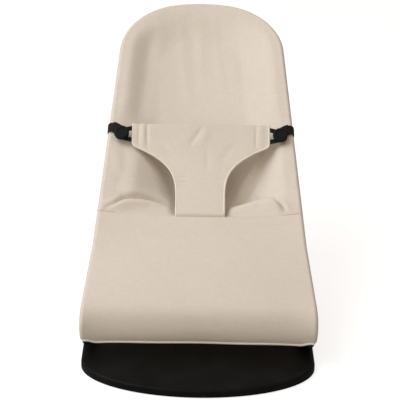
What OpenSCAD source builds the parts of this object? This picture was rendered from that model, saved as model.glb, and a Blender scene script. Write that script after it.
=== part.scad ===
/* [Seat frame] */
// Diameter of the spring rod that runs round the seat
seat_rod_d = 8; // [7:0.5:9]
// Inset of the toe bends' rod centres from the plate's sides
toe_inset = 5.5; // [4:0.5:9]
// Radius of the toe bend, to the rod's centre
toe_bend_r = 40; // [38:1:44]
// Angle that the toe bend turns through
toe_sweep = 150; // [140:1:155]
// Straight tail between the toe bend and the front hinge
tail_len = 30; // [28:1:36]
// Inward lean of the toe bend
toe_lean = 5; // [3:0.5:7]
// Inward taper of the side rods below the side bend
taper_low = 5.8; // [4.8:0.1:6.2]
// Inward taper of the side rods above the side bend
taper_high = 3.4; // [2.5:0.1:4.2]
// Length of the lower side run, from the toe bend to the side bend
side_low_len = 125; // [110:1:150]
// Distance of the head corners' centres from the front hinge, along the seat
head_corner_s = 572; // [540:1:590]
// Radius of the head corners, to the rod's centre
head_corner_r = 122; // [110:1:124]
// Half angle of the crown between the head corners
crown_half_angle = 11; // [9:0.5:16]

/* [Recline] */
// Slope of the seat at rest, in the lowest seat position
seat_slope = 28; // [26:0.5:30]
// Step of slope between one seat position and the next
slope_step = 7.2; // [6:0.1:7.5]
// Distance of the front hinge before the plate's rear edge
hinge_margin = 37; // [22:1:42]
// Height of the front hinge above the floor
hinge_z = 28; // [28:0.5:32]
// Radius of the hinge pins
hinge_pin_r = 4; // [3:0.25:5]
// Radius of the hinge knuckles
knuckle_r = 9; // [8:0.5:10]
// Width of the hinge knuckles
knuckle_w = 14; // [13:0.5:15]
// Thickness of the hinge blocks' ears
ear_w = 4.5; // [4:0.25:5]

/* [Support bar] */
// Diameter of the support bar
bar_d = 8; // [7:0.5:9]
// Distance of the support pivot from the front hinge, along the seat
pivot_s = 250; // [240:1:260]
// Drop of the support pivot below the side rods
pivot_drop = 26; // [24:0.5:30]
// Inset of the support bar's arms from the side rods at the pivots
arm_inset = 14.6; // [14:0.1:16]
// Spread of the support bar's foot past its pivots, on each side
foot_splay = 20.5; // [18:0.5:23]
// Bend radius of the support bar's foot corners
foot_corner_r = 18; // [16:1:20]
// Radius of the pivot pins
pivot_pin_r = 3; // [2.5:0.25:3.5]
// Outer radius of the foot sleeves
sleeve_r = 6; // [5.5:0.25:6.5]

/* [Base] */
// Overall length of the base
base_len = 790; // [760:1:820]
// Width of the front plate
plate_w = 390; // [384:1:400]
// Depth of the plate's rounded front
plate_front_depth = 100; // [94:1:120]
// Depth of the whole plate
plate_depth = 202; // [200:1:210]
// Height of the plate's top face
plate_top_z = 15; // [15:0.25:16]
// Thickness of the plate's top skin
plate_skin = 2.6; // [2:0.1:2.8]
// Thickness of the plate's side wall
plate_wall = 4; // [3:0.5:5]
// Radius of the plate's top edge
plate_edge_r = 5; // [3:0.5:6]
// Diameter of the base rod
base_rod_d = 10; // [9:0.5:10]
// Inset of the base rod's sides from the support bar's pivots
base_inset = 6.5; // [5:0.5:8]
// Bend radius of the base rod's rear corners
base_corner_r = 60; // [50:1:70]
// Outer radius of the rear feet
foot_r = 7; // [7:0.25:7.5]
// Gap between the rear feet at the middle
foot_gap = 36; // [20:1:60]
// Width of each position rack
rack_w = 16; // [14:0.5:16]
// Depth of the notches in the racks
notch_depth = 4; // [3:0.25:5]

/* [Fabric] */
// Thickness of the cover's cloth
cloth_t = 2.5; // [2:0.1:3]
// Depth of the sling at the hips
hip_depth = 70; // [60:1:74]
// Depth of the sling behind the back
back_depth = 26; // [18:1:30]
// Width of the backrest's soft shoulder inside each rod
shoulder_w = 75; // [60:1:90]
// Angle round the toe bend at which the leg panel's hem lies
hem_angle = 95; // [80:1:100]
// Distance of the knee seam from the front hinge, along the seat
knee_s = 187; // [180:1:192]
// Sag of the knee seam between the side rods
knee_sag = 9; // [0:0.5:12]
// Half width of the crotch strap
crotch_half_w = 42; // [36:1:46]
// Reach of the waist band's loops to the buttons
loop_reach = 20; // [18:0.5:25]
// Length of the restraint from the knee seam to its top edge
restraint_len = 190; // [184:1:196]
// Height of the waist band's ends
band_h = 42; // [36:1:46]

/* [Buttons] */
// Radius of the buttons
button_r = 13.5; // [12:0.5:14]
// Distance of the buttons below the top edge of the restraint
button_drop = 19; // [15:1:23]
// Distance of the buttons inside the side rods
button_inset = 20; // [19:0.5:22]
// Width of the webbing
web_w = 20; // [15:1:22]
// Turn of the webbing up the seat towards the side rod
web_turn = 20; // [0:1:24]
// Thickness of the webbing
web_t = 1.6; // [1.2:0.1:2]
// Forward tilt of the webbing and buttons out of the seat's slope
button_tilt = 14; // [0:1:16]

/* [Hidden] */

$fn = 64;
eps = 0.01;

// Clearances
run_gap = 0.05;
slide_gap = 0.3;
cloth_gap = 0.3;
tip_gap = 0.35;
screw_gap = 0.02;

// Rods
rod_r = seat_rod_d / 2;
bar_r = bar_d / 2;
base_r = base_rod_d / 2;
base_rod_z = foot_r;

// Positions along the base, with the origin under the middle of the object
front_y = -base_len / 2;
hinge_y = front_y + plate_depth - hinge_margin;
toe_half_w = plate_w / 2 - toe_inset;
rear_rod_y = front_y + base_len - foot_r;

// Directions of the lower side rod and of the toe bend's radius, right-hand side
low_dir = [-sin(taper_low), cos(taper_low), 0];
high_dir = [-sin(taper_high), cos(taper_high), 0];
bend_up = [sin(toe_lean) * cos(taper_low), sin(toe_lean) * sin(taper_low), cos(toe_lean)];

// Offset from the start of the side rod to the hinge, round the toe bend
tail_dir = -sin(toe_sweep) * bend_up - cos(toe_sweep) * low_dir;
toe_drop = toe_bend_r * (cos(toe_sweep) - 1) * bend_up - toe_bend_r * sin(toe_sweep) * low_dir
    + tail_len * tail_dir;

// Seat frame, in seat coordinates: x across, s along the seat, n out of it, from the hinge
rod_n = -toe_drop[2];
toe_s = -toe_drop[1];
toe_pt = [toe_half_w, toe_s, rod_n];
hinge_half_w = toe_half_w + toe_drop[0];
bend_centre = toe_pt - toe_bend_r * bend_up;
side_pt = toe_pt + side_low_len * low_dir;
corner_x = side_pt[0] - (head_corner_s - side_pt[1]) * tan(taper_high)
    - head_corner_r / cos(taper_high);
crown_r = head_corner_r + corner_x / sin(crown_half_angle);
crown_s = head_corner_s - (crown_r - head_corner_r) * cos(crown_half_angle);
corner_pt = [corner_x, head_corner_s, rod_n];
corner_start = corner_pt + head_corner_r * [cos(taper_high), sin(taper_high), 0];
head_s = crown_s + crown_r;
corner_turn = 90 - crown_half_angle - taper_high;

// Slight bend between the lower and the upper side run
side_bend_r = 150;
side_turn = taper_low - taper_high;
side_lead = side_bend_r * tan(side_turn / 2);
side_out = [cos(taper_low), sin(taper_low), 0];

// Half width of the rod's centre line at a distance s along the seat
function rod_half(s) =
    s < side_pt[1] ? toe_half_w - (s - toe_s) * tan(taper_low)
    : s < corner_start[1] ? side_pt[0] - (s - side_pt[1]) * tan(taper_high)
    : s < head_corner_s + head_corner_r * cos(crown_half_angle)
        ? corner_x + sqrt(max(0, head_corner_r * head_corner_r - pow(s - head_corner_s, 2)))
    : sqrt(max(0, crown_r * crown_r - pow(s - crown_s, 2)));

// Support linkage: the arms are as long as the pivot is far from the hinge
pivot_n = rod_n - pivot_drop;
arm_len = norm([pivot_s, pivot_n]);
pivot_angle = atan2(pivot_n, pivot_s);
function foot_reach(slope) = 2 * arm_len * cos(slope + pivot_angle);
notch_reach = [for (i = [0:2]) foot_reach(seat_slope + i * slope_step)];
arm_slope = seat_slope + pivot_angle;

// Widths of the support bar and the base, from the side rods inwards
arm_half_w = rod_half(pivot_s) - arm_inset;
foot_half_w = arm_half_w + foot_splay;
base_half_w = arm_half_w - base_inset;
foot_len = base_half_w - base_corner_r - foot_gap / 2;

// Support brackets and the eyes of the support bar
washer_gap = 0.5;
bracket_ear_w = 7;
bracket_ear_x = arm_half_w + bar_r + washer_gap;
bracket_wall = 3;
saddle_drop = 1.5;
bracket_len = 34;
bracket_screw_r = 1.5;
bracket_ear_r = 9;
arm_eye_r = 7;
arm_eye_w = bar_d - 1;
arm_straight = 22;

// Cloth lies this far above and round the rods
cloth_under = rod_r + cloth_gap;
cover_top = cloth_under + cloth_t;
edge_in = rod_r + bracket_wall;
edge_out = rod_r + 1;

// Restraint, hinged at the knee seam
panel_t = 4;
seam_n = rod_n + cover_top + panel_t / 2 + 0.8 - knee_sag;
waist_s = knee_s + restraint_len - band_h;

// Webbing, buttons and loops, as heights above the webbing's underside
button_base_t = 0.8;
loop_t = 2;
loop_z = web_t + button_base_t + slide_gap;
cap_z = loop_z + loop_t + 0.6;
button_s = knee_s + restraint_len - button_drop;
button_x = rod_half(button_s) - button_inset;
waist_half_w = button_x - loop_reach;

// Height of the webbing's underside above the side rods, clear of the cover when tilted
web_lift = cover_top + cloth_gap + web_w / 2 * tan(button_tilt);

// -- helpers --

// Straight rod of radius r from p to q, longer by lap at both ends
module rod(p, q, r, lap = 0) {
    d = q - p;
    translate(p - lap * d / norm(d))
        rotate([0, acos(d[2] / norm(d)), atan2(d[1], d[0])])
            cylinder(h = norm(d) + 2 * lap, r = r);
}

// Bent rod round centre c: radius big, from direction ex towards ey by angle a.
// A bend is a hair thicker than the straight runs, which lap into its ends
bend_lap = 0.8;
bend_swell = 0.02;
module bend(c, ex, ey, big, r, a) {
    ez = cross(ex, ey);
    multmatrix([
        [ex[0], ey[0], ez[0], c[0]],
        [ex[1], ey[1], ez[1], c[1]],
        [ex[2], ey[2], ez[2], c[2]],
        [0, 0, 0, 1]
    ])
        rotate_extrude(angle = a, $fn = 96)
            translate([big, 0])
                circle(r, $fn = 32);
}

module both_sides() {
    children();
    mirror([1, 0, 0])
        children();
}

// Seat coordinates to the object's frame
module on_seat() {
    translate([0, hinge_y, hinge_z])
        rotate([seat_slope, 0, 0])
            children();
}

// Closed sheet between two grids of points that have the same rows and columns
module sheet(top, under) {
    rows = len(top);
    cols = len(top[0]);
    half = rows * cols;
    points = [
        for (row = top) for (p = row) p,
        for (row = under) for (p = row) p
    ];
    function at(i, j) = i * cols + j;
    faces = [
        for (i = [0:rows - 2]) for (j = [0:cols - 2]) each [
            [at(i, j), at(i + 1, j), at(i + 1, j + 1)],
            [at(i, j), at(i + 1, j + 1), at(i, j + 1)],
            [half + at(i, j), half + at(i + 1, j + 1), half + at(i + 1, j)],
            [half + at(i, j), half + at(i, j + 1), half + at(i + 1, j + 1)]
        ],
        for (i = [0:rows - 2]) each [
            [at(i, 0), half + at(i, 0), half + at(i + 1, 0), at(i + 1, 0)],
            [at(i, cols - 1), at(i + 1, cols - 1), half + at(i + 1, cols - 1), half + at(i, cols - 1)]
        ],
        for (j = [0:cols - 2]) each [
            [at(0, j), at(0, j + 1), half + at(0, j + 1), half + at(0, j)],
            [at(rows - 1, j), half + at(rows - 1, j), half + at(rows - 1, j + 1), at(rows - 1, j + 1)]
        ]
    ];
    polyhedron(points = points, faces = faces, convexity = 6);
}

// -- base --

// Plan outline of the front plate, drawn in by a distance
plate_corner_r = 22;
module plate_outline(inset = 0) {
    side = plate_w / 2 - inset;
    corner = plate_corner_r - inset;
    back = plate_depth - plate_front_depth - inset - corner;
    translate([0, front_y + plate_front_depth])
        polygon([
            for (a = [180:4:360]) [side * cos(a), (plate_front_depth - inset) * sin(a)],
            for (a = [0:10:90]) [side - corner + corner * cos(a), back + corner * sin(a)],
            for (a = [90:10:180]) [corner - side + corner * cos(a), back + corner * sin(a)]
        ]);
}

// The plate's rim stops above the floor, where the pads stand out
plate_rim_z = 2;
skin_z = plate_top_z - plate_skin;
clamp_y = [front_y + 0.39 * plate_depth, front_y + 0.74 * plate_depth];
clamp_dx = 15;
clamp_t = 1.2;
clamp_boss_r = 4;
clamp_screw_r = 1.4;
clamp_screw_len = 7;
clamp_w = 12;
clamp_lap = 5;
pad_r = 11;
pad_t = 3;
pad_boss_r = pad_r + 2;
pad_groove_w = 1.5;
pad_groove_d = 0.8;
pad_side = plate_w / 2 - plate_wall - pad_boss_r - slide_gap;
pad_places = [
    [0.18 * plate_w, front_y + 0.34 * plate_front_depth],
    [pad_side, front_y + 1.1 * plate_front_depth]
];
hinge_screw_dy = [-9, 5];
hinge_screw_r = 1.5;
screw_head_t = 1.7;
rib_t = 2;
rib_pitch = plate_w / 8;
rib_half_span = 0.31 * plate_w;
rod_start = 0.28 * plate_depth;

module plate_shell() {
    difference() {
        hull()
            for (a = [0:18:90])
                translate([0, 0, plate_rim_z])
                    linear_extrude(plate_top_z - plate_rim_z - plate_edge_r * (1 - sin(a)))
                        plate_outline(plate_edge_r * (1 - cos(a)));
        translate([0, 0, -eps])
            linear_extrude(skin_z + eps)
                plate_outline(plate_wall);
    }
}

// Ribs under the skin, between the base rod's two sides
module plate_ribs() {
    intersection() {
        translate([0, 0, plate_rim_z + rib_t])
            linear_extrude(skin_z - plate_rim_z - rib_t + eps)
                plate_outline(plate_wall - eps);
        union() {
            for (x = [-2 * rib_pitch:rib_pitch:2 * rib_pitch])
                translate([x - rib_t / 2, front_y, 0])
                    cube([rib_t, plate_depth, plate_top_z]);
            for (y = [rod_start:rib_pitch:plate_depth - rib_pitch / 3])
                translate([-rib_half_span, front_y + y - rib_t / 2, 0])
                    cube([2 * rib_half_span, rib_t, plate_top_z]);
        }
    }
}

module plate_bosses() {
    both_sides() {
        for (p = pad_places)
            translate([p[0], p[1], plate_rim_z])
                cylinder(h = skin_z - plate_rim_z + eps, r = pad_boss_r);
        for (y = clamp_y, dx = [-clamp_dx, clamp_dx])
            translate([base_half_w + dx, y, plate_rim_z])
                cylinder(h = skin_z - plate_rim_z + eps, r = clamp_boss_r);
    }
}

module front_plate() {
    rod_len = plate_depth - rod_start;
    color([0.09, 0.09, 0.09])
        difference() {
            union() {
                plate_shell();
                plate_ribs();
                plate_bosses();
            }
            both_sides() {
                translate([base_half_w, front_y + rod_start, base_rod_z])
                    rotate([-90, 0, 0])
                        cylinder(h = rod_len + 1, r = base_r);
                translate([base_half_w - base_r, front_y + rod_start, 0])
                    cube([2 * base_r, rod_len + 1, base_rod_z]);
                for (p = pad_places)
                    translate([p[0], p[1], 0])
                        cylinder(h = pad_t, r = pad_r);
                for (y = clamp_y, dx = [-clamp_dx, clamp_dx])
                    translate([base_half_w + dx, y, 0])
                        cylinder(h = plate_rim_z + clamp_screw_len, r = clamp_screw_r);
                for (dy = hinge_screw_dy)
                    translate([hinge_half_w, hinge_y + dy, 0])
                        cylinder(h = plate_top_z + 1, r = hinge_screw_r);
            }
        }
}

module plate_pads() {
    color([0.16, 0.16, 0.16])
        both_sides()
            for (p = pad_places)
                translate([p[0], p[1], 0])
                    difference() {
                        cylinder(h = pad_t, r = pad_r);
                        for (r = [4, 8])
                            translate([0, 0, -eps])
                                difference() {
                                    cylinder(h = pad_groove_d, r = r);
                                    cylinder(h = pad_groove_d, r = r - pad_groove_w);
                                }
                    }
}

module base_frame() {
    rear_x = base_half_w - base_corner_r;
    corner_y = rear_rod_y - base_corner_r;
    color([0.08, 0.08, 0.08]) {
        both_sides() {
            rod([base_half_w, front_y + rod_start + slide_gap, base_rod_z],
                [base_half_w, corner_y + bend_lap, base_rod_z], base_r);
            bend([rear_x, corner_y, base_rod_z], [1, 0, 0], [0, 1, 0],
                 base_corner_r, base_r + bend_swell, 90);
        }
        rod([-rear_x, rear_rod_y, base_rod_z], [rear_x, rear_rod_y, base_rod_z], base_r, bend_lap);
    }
}

// Steel straps that hold the base rod up in the plate
module rod_clamps() {
    color([0.3, 0.3, 0.3])
        both_sides()
            for (y = clamp_y)
                difference() {
                    translate([base_half_w, y, plate_rim_z - clamp_t / 2])
                        cube([2 * (clamp_dx + clamp_lap), clamp_w, clamp_t], center = true);
                    for (dx = [-clamp_dx, clamp_dx])
                        translate([base_half_w + dx, y, plate_rim_z - clamp_t])
                            cylinder(h = clamp_t, r1 = 2 * clamp_screw_r, r2 = clamp_screw_r);
                }
}

module clamp_screws() {
    color([0.5, 0.5, 0.5])
        both_sides()
            for (y = clamp_y, dx = [-clamp_dx, clamp_dx])
                translate([base_half_w + dx, y, plate_rim_z - clamp_t]) {
                    cylinder(h = clamp_t, r1 = 2 * clamp_screw_r, r2 = clamp_screw_r);
                    cylinder(h = clamp_t + clamp_screw_len - 1, r = clamp_screw_r - screw_gap);
                }
}

// Two ears on a flange; the knuckle turns between them
flange_t = 3;
flange_front = 12;
flange_back = 13;
ear_r = 10;
ear_in = knuckle_w / 2 + slide_gap;
module hinge_block() {
    color([0.1, 0.1, 0.1])
        difference() {
            union() {
                translate([hinge_half_w - ear_in - ear_w, hinge_y - flange_front, plate_top_z])
                    cube([2 * (ear_in + ear_w), flange_front + flange_back, flange_t]);
                for (side = [-1, 1])
                    translate([hinge_half_w + side * (ear_in + ear_w / 2), hinge_y, 0])
                        rotate([90, 0, 90])
                            linear_extrude(ear_w, center = true)
                                ear_profile();
            }
            translate([hinge_half_w - ear_in - ear_w - 1, hinge_y, hinge_z])
                rotate([0, 90, 0])
                    cylinder(h = 2 * (ear_in + ear_w) + 2, r = hinge_pin_r);
            for (dy = hinge_screw_dy)
                translate([hinge_half_w, hinge_y + dy, plate_top_z - eps])
                    cylinder(h = flange_t - 0.5 + eps, r = hinge_screw_r);
        }
}

module ear_profile() {
    translate([0, hinge_z])
        circle(ear_r);
    polygon([
        [-flange_front, plate_top_z], [flange_back, plate_top_z],
        [ear_r, hinge_z], [-ear_r, hinge_z]
    ]);
}

module hinge_screws() {
    color([0.5, 0.5, 0.5])
        both_sides()
            for (dy = hinge_screw_dy)
                translate([hinge_half_w, hinge_y + dy, skin_z]) {
                    cylinder(h = plate_skin + flange_t - 0.6, r = hinge_screw_r - screw_gap);
                    translate([0, 0, -screw_head_t])
                        cylinder(h = screw_head_t, r = 2 * hinge_screw_r);
                }
}

module hinge_pin() {
    reach = ear_in + ear_w;
    head_t = 1.8;
    color([0.35, 0.35, 0.35])
        translate([hinge_half_w, hinge_y, hinge_z])
            rotate([0, 90, 0]) {
                cylinder(h = 2 * reach + eps, r = hinge_pin_r, center = true);
                for (side = [0, 1])
                    mirror([0, 0, side])
                        translate([0, 0, reach])
                            cylinder(h = head_t, r1 = hinge_pin_r + 2.2, r2 = hinge_pin_r + 1);
            }
}

// Toothed rack: the support bar's foot drops between its teeth
rack_tip_z = hinge_z - sleeve_r - tip_gap;
rack_end = 18;
rack_ramp = 14;
rack_skirt = 4;
rack_shoulder = 5;
notch_r = sleeve_r + 1;
module rack_profile() {
    first = hinge_y + notch_reach[2];
    last = hinge_y + notch_reach[0];
    difference() {
        polygon([
            [first - rack_end - rack_ramp, base_rod_z - rack_skirt],
            [last + rack_end + rack_ramp, base_rod_z - rack_skirt],
            [last + rack_end + rack_ramp, base_rod_z + rack_shoulder],
            [last + rack_end, rack_tip_z],
            [first - rack_end, rack_tip_z],
            [first - rack_end - rack_ramp, base_rod_z + rack_shoulder]
        ]);
        for (reach = notch_reach)
            translate([hinge_y + reach, rack_tip_z - notch_depth + notch_r])
                circle(notch_r);
    }
}

rack_screw_r = 1.5;
module rack() {
    color([0.1, 0.1, 0.1])
        difference() {
            translate([base_half_w, 0, 0])
                rotate([90, 0, 90])
                    linear_extrude(rack_w, center = true)
                        rack_profile();
            translate([base_half_w, front_y, base_rod_z])
                rotate([-90, 0, 0])
                    cylinder(h = base_len, r = base_r);
            rack_screw_places()
                cylinder(h = rack_w / 2, r = rack_screw_r);
        }
}

module rack_screw_places() {
    past = rack_end + rack_ramp / 2 - 1;
    for (y = [hinge_y + notch_reach[2] - past, hinge_y + notch_reach[0] + past])
        translate([base_half_w - rack_w / 2, y, base_rod_z])
            rotate([0, 90, 0])
                children();
}

module rack_screws() {
    color([0.5, 0.5, 0.5])
        both_sides()
            rack_screw_places() {
                cylinder(h = rack_w / 2 - base_r, r = rack_screw_r - screw_gap);
                translate([0, 0, -screw_head_t])
                    cylinder(h = screw_head_t, r = 2 * rack_screw_r);
            }
}

// Ribbed rubber sleeve on the rear of the base rod
module rear_foot() {
    groove = 1;
    pitch = 7;
    color([0.15, 0.15, 0.15])
        translate([base_half_w - base_corner_r, rear_rod_y, base_rod_z])
            rotate([0, -90, 0])
                difference() {
                    cylinder(h = foot_len, r = foot_r);
                    translate([0, 0, -1])
                        cylinder(h = foot_len + 2, r = base_r);
                    for (z = [pitch:pitch:foot_len - pitch])
                        translate([0, 0, z])
                            difference() {
                                cylinder(h = groove, r = foot_r + 1);
                                translate([0, 0, -1])
                                    cylinder(h = groove + 2, r = foot_r - 0.6);
                            }
                }
}

// -- seat frame --

module seat_frame() {
    tail_start = hinge_pin_r + 3;
    crown_span = crown_half_angle + bend_lap / crown_r * 180 / PI;
    color([0.08, 0.08, 0.08])
        on_seat() {
            both_sides() {
                rod([hinge_half_w, 0, 0] - tail_start * tail_dir,
                    [hinge_half_w, 0, 0] - (tail_len + bend_lap) * tail_dir, rod_r);
                bend(bend_centre, bend_up, -low_dir, toe_bend_r, rod_r + bend_swell, toe_sweep);
                rod(toe_pt, side_pt - side_lead * low_dir, rod_r, bend_lap);
                bend(side_pt - side_lead * low_dir + side_bend_r * side_out, -side_out, low_dir,
                     side_bend_r, rod_r + bend_swell, side_turn);
                rod(side_pt + side_lead * high_dir, corner_start, rod_r, bend_lap);
                bend(corner_pt, [cos(taper_high), sin(taper_high), 0],
                     [-sin(taper_high), cos(taper_high), 0],
                     head_corner_r, rod_r + bend_swell, corner_turn);
            }
            bend([0, crown_s, rod_n], [sin(crown_span), cos(crown_span), 0],
                 [-cos(crown_span), sin(crown_span), 0], crown_r, rod_r, 2 * crown_span);
        }
}

// Hinge knuckle with the socket for the frame's tail
module seat_knuckle() {
    socket_len = 22;
    socket_r = rod_r + 1.6;
    color([0.12, 0.12, 0.12])
        on_seat()
            difference() {
                union() {
                    translate([hinge_half_w, 0, 0])
                        rotate([0, 90, 0])
                            cylinder(h = knuckle_w, r = knuckle_r, center = true);
                    rod([hinge_half_w, 0, 0],
                        [hinge_half_w, 0, 0] - socket_len * tail_dir, socket_r);
                }
                translate([hinge_half_w, 0, 0])
                    rotate([0, 90, 0])
                        cylinder(h = 2 * knuckle_w, r = hinge_pin_r + run_gap, center = true);
                rod([hinge_half_w, 0, 0] - (hinge_pin_r + 3) * tail_dir,
                    [hinge_half_w, 0, 0] - (socket_len + 5) * tail_dir, rod_r);
            }
}

// Saddle under the side rod with an ear for the support bar's pivot
module support_bracket() {
    mid = [rod_half(pivot_s), pivot_s, rod_n];
    lap = bracket_len / 2;
    outer_r = rod_r + bracket_wall;
    color([0.1, 0.1, 0.1])
        on_seat()
            difference() {
                union() {
                    rod(mid - lap * high_dir, mid + lap * high_dir, outer_r);
                    translate([bracket_ear_x, pivot_s, pivot_n])
                        rotate([0, 90, 0])
                            cylinder(h = bracket_ear_w, r = bracket_ear_r);
                    translate([0, pivot_s + bracket_ear_r, 0])
                        rotate([90, 0, 0])
                            linear_extrude(2 * bracket_ear_r)
                                polygon([
                                    [bracket_ear_x, pivot_n],
                                    [bracket_ear_x + bracket_ear_w, pivot_n],
                                    [bracket_ear_x + bracket_ear_w, pivot_n + bracket_ear_r],
                                    [mid[0] + 1, rod_n - outer_r + 0.6],
                                    [mid[0], rod_n - rod_r / 2],
                                    [mid[0] - outer_r + 0.6, rod_n - saddle_drop],
                                    [bracket_ear_x, rod_n - outer_r]
                                ]);
                }
                rod(mid - 2 * lap * high_dir, mid + 2 * lap * high_dir, rod_r);
                translate([mid[0] - 2 * bracket_len, pivot_s - bracket_len, rod_n - saddle_drop])
                    cube([4 * bracket_len, 2 * bracket_len, bracket_len]);
                translate(mid)
                    rotate([0, 0, taper_high])
                        translate([rod_r - 1, -bracket_len, -bracket_len])
                            cube(2 * bracket_len);
                translate([bracket_ear_x - 1, pivot_s, pivot_n])
                    rotate([0, 90, 0])
                        cylinder(h = bracket_ear_w + 2, r = pivot_pin_r);
                bracket_screw_place()
                    translate([0, 0, -1])
                        cylinder(h = bracket_wall + 2, r = bracket_screw_r);
            }
}

// Seat of the saddle's screw, under the rod
module bracket_screw_place() {
    s = pivot_s + bracket_len / 2 - 4;
    translate([rod_half(s), s, rod_n - rod_r - bracket_wall])
        children();
}

module bracket_screws() {
    color([0.5, 0.5, 0.5])
        on_seat()
            both_sides()
                bracket_screw_place() {
                    translate([0, 0, -screw_gap])
                        cylinder(h = bracket_wall - 0.2, r = bracket_screw_r - screw_gap);
                    translate([0, 0, -screw_gap - screw_head_t])
                        cylinder(h = screw_head_t, r = 2 * bracket_screw_r);
                }
}

module support_pin() {
    head_t = 2;
    head_r = pivot_pin_r + 2.5;
    inner = arm_half_w - bar_r - washer_gap;
    outer = bracket_ear_x + bracket_ear_w;
    color([0.35, 0.35, 0.35])
        on_seat()
            translate([inner - head_t, pivot_s, pivot_n])
                rotate([0, 90, 0]) {
                    cylinder(h = outer - inner + 2 * head_t, r = pivot_pin_r);
                    cylinder(h = head_t, r1 = head_r - 1, r2 = head_r);
                    translate([0, 0, head_t + outer - inner])
                        cylinder(h = head_t, r1 = head_r, r2 = head_r - 1);
                }
}

// -- support bar --

foot_reach_rest = notch_reach[0];
arm_dir = [0, cos(arm_slope), -sin(arm_slope)];
arm_pivot = [arm_half_w, arm_len * cos(arm_slope), arm_len * sin(arm_slope)];
arm_knee = arm_pivot + arm_straight * arm_dir;
foot_corner = [foot_half_w, foot_reach_rest, 0];
splay_dir = (foot_corner - arm_knee) / norm(foot_corner - arm_knee);
splay = asin(splay_dir[0]);
corner_lead = foot_corner_r * tan((90 + splay) / 2);
knee_bend_r = 60;
knee_lead = knee_bend_r * tan(splay / 2);

module on_hinge() {
    translate([0, hinge_y, hinge_z])
        children();
}

module support_bar() {
    corner_in = foot_corner - corner_lead * splay_dir;
    inward = [-cos(splay), 0, 0] + sin(splay) * arm_dir;
    color([0.08, 0.08, 0.08])
        on_hinge() {
            both_sides() {
                translate(arm_pivot)
                    rotate([0, 90, 0])
                        difference() {
                            cylinder(h = arm_eye_w, r = arm_eye_r, center = true);
                            cylinder(h = 2 * bar_d, r = pivot_pin_r + run_gap, center = true);
                        }
                rod(arm_pivot + (pivot_pin_r + 2) * arm_dir,
                    arm_knee - (knee_lead - bend_lap) * arm_dir, bar_r);
                bend(arm_knee - knee_lead * arm_dir + [knee_bend_r, 0, 0], [-1, 0, 0], arm_dir,
                     knee_bend_r, bar_r + bend_swell, splay);
                rod(arm_knee + knee_lead * splay_dir, corner_in, bar_r, bend_lap);
                bend(corner_in + foot_corner_r * inward, -inward, splay_dir,
                     foot_corner_r, bar_r + bend_swell, 90 + splay);
            }
            rod([corner_lead - foot_half_w, foot_reach_rest, 0],
                [foot_half_w - corner_lead, foot_reach_rest, 0], bar_r, bend_lap);
        }
}

module foot_sleeve() {
    sleeve_len = rack_w + 2;
    color([0.14, 0.14, 0.14])
        on_hinge()
            translate([foot_half_w - corner_lead, foot_reach_rest, 0])
                rotate([0, -90, 0])
                    difference() {
                        cylinder(h = sleeve_len, r = sleeve_r);
                        translate([0, 0, -1])
                            cylinder(h = sleeve_len + 2, r = bar_r);
                    }
}

// -- fabric --

// Half width of an outline that runs a distance off outside the frame's centre line
function outline_half(s, off) =
    s < corner_start[1] + off * sin(taper_high) ? rod_half(s) + off
    : s < head_corner_s + (head_corner_r + off) * cos(crown_half_angle)
        ? corner_x + sqrt(max(0, pow(head_corner_r + off, 2) - pow(s - head_corner_s, 2)))
    : sqrt(max(0, pow(crown_r + off, 2) - pow(s - crown_s, 2)));

// Depth of the sling below the rods along its middle
hip_s = knee_s + 0.42 * restraint_len;
back_s = hip_s + 0.97 * restraint_len;
function ease(u) = 0.5 - 0.5 * cos(180 * min(1, max(0, u)));
function sling_depth(s) =
    s < hip_s
        ? knee_sag + (hip_depth - knee_sag)
            * pow(sin(90 * max(0, (s - knee_s) / (hip_s - knee_s))), 0.9)
    : s < back_s ? hip_depth - (hip_depth - back_depth) * ease((s - hip_s) / (back_s - hip_s))
    : back_depth * sqrt(max(0, 1 - pow((s - back_s) / (head_s - edge_in - back_s), 2)));

// Shares of the depth at a distance x from the middle: a seam's even sag, and the
// sling's own hollow, which starts with a soft shoulder inside each rod
function edge_share(x, s) =
    let(inner = outline_half(s, -edge_in))
    abs(x) >= inner ? 0 : 1 - pow(abs(x) / inner, 3);
function hollow_share(x, s) =
    let(inner = outline_half(s, -edge_in),
        reach = inner - (inner - shoulder_w) * ease((s - hip_s) / (back_s - hip_s)))
    abs(x) >= inner ? 0 : ease((inner - abs(x)) / reach);
function sling_dip(x, s) =
    let(deep = sling_depth(s), even = min(knee_sag, deep))
    even * edge_share(x, s) + (deep - even) * hollow_share(x, s);

cover_cols = 18;
cover_rows = [
    for (i = [0:20]) knee_s + 0.5 + (head_corner_s - knee_s) * i / 20,
    for (a = [12:12:72]) head_corner_s + 0.5 + (head_s - 8 - head_corner_s) * sin(a),
    for (d = [-5:3:edge_out - 1]) head_s + d
];

module seat_cover() {
    function lift(s, rise) = [
        for (j = [-cover_cols / 2:cover_cols / 2])
            let(x = outline_half(s, edge_out) * sin(180 * j / cover_cols))
            [x, s, rod_n + rise - sling_dip(x, s)]
    ];
    color([0.8, 0.74, 0.66])
        on_seat()
            sheet([for (s = cover_rows) lift(s, cover_top)],
                  [for (s = cover_rows) lift(s, cloth_under)]);
}

// Rear panel of the cover's pocket that slips over the head of the frame
pocket_s = head_corner_s - head_corner_r / 4;
module head_pocket() {
    rows = [for (s = cover_rows) if (s >= pocket_s) s];
    function lower(s, drop) = [
        for (j = [-cover_cols / 2:cover_cols / 2])
            let(x = outline_half(s, edge_out) * sin(180 * j / cover_cols))
            [x, s, rod_n - max(cloth_under, sling_dip(x, s) - cloth_under + 1) - drop]
    ];
    color([0.78, 0.72, 0.64])
        on_seat()
            sheet([for (s = rows) lower(s, 0)], [for (s = rows) lower(s, cloth_t)]);
}

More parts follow.
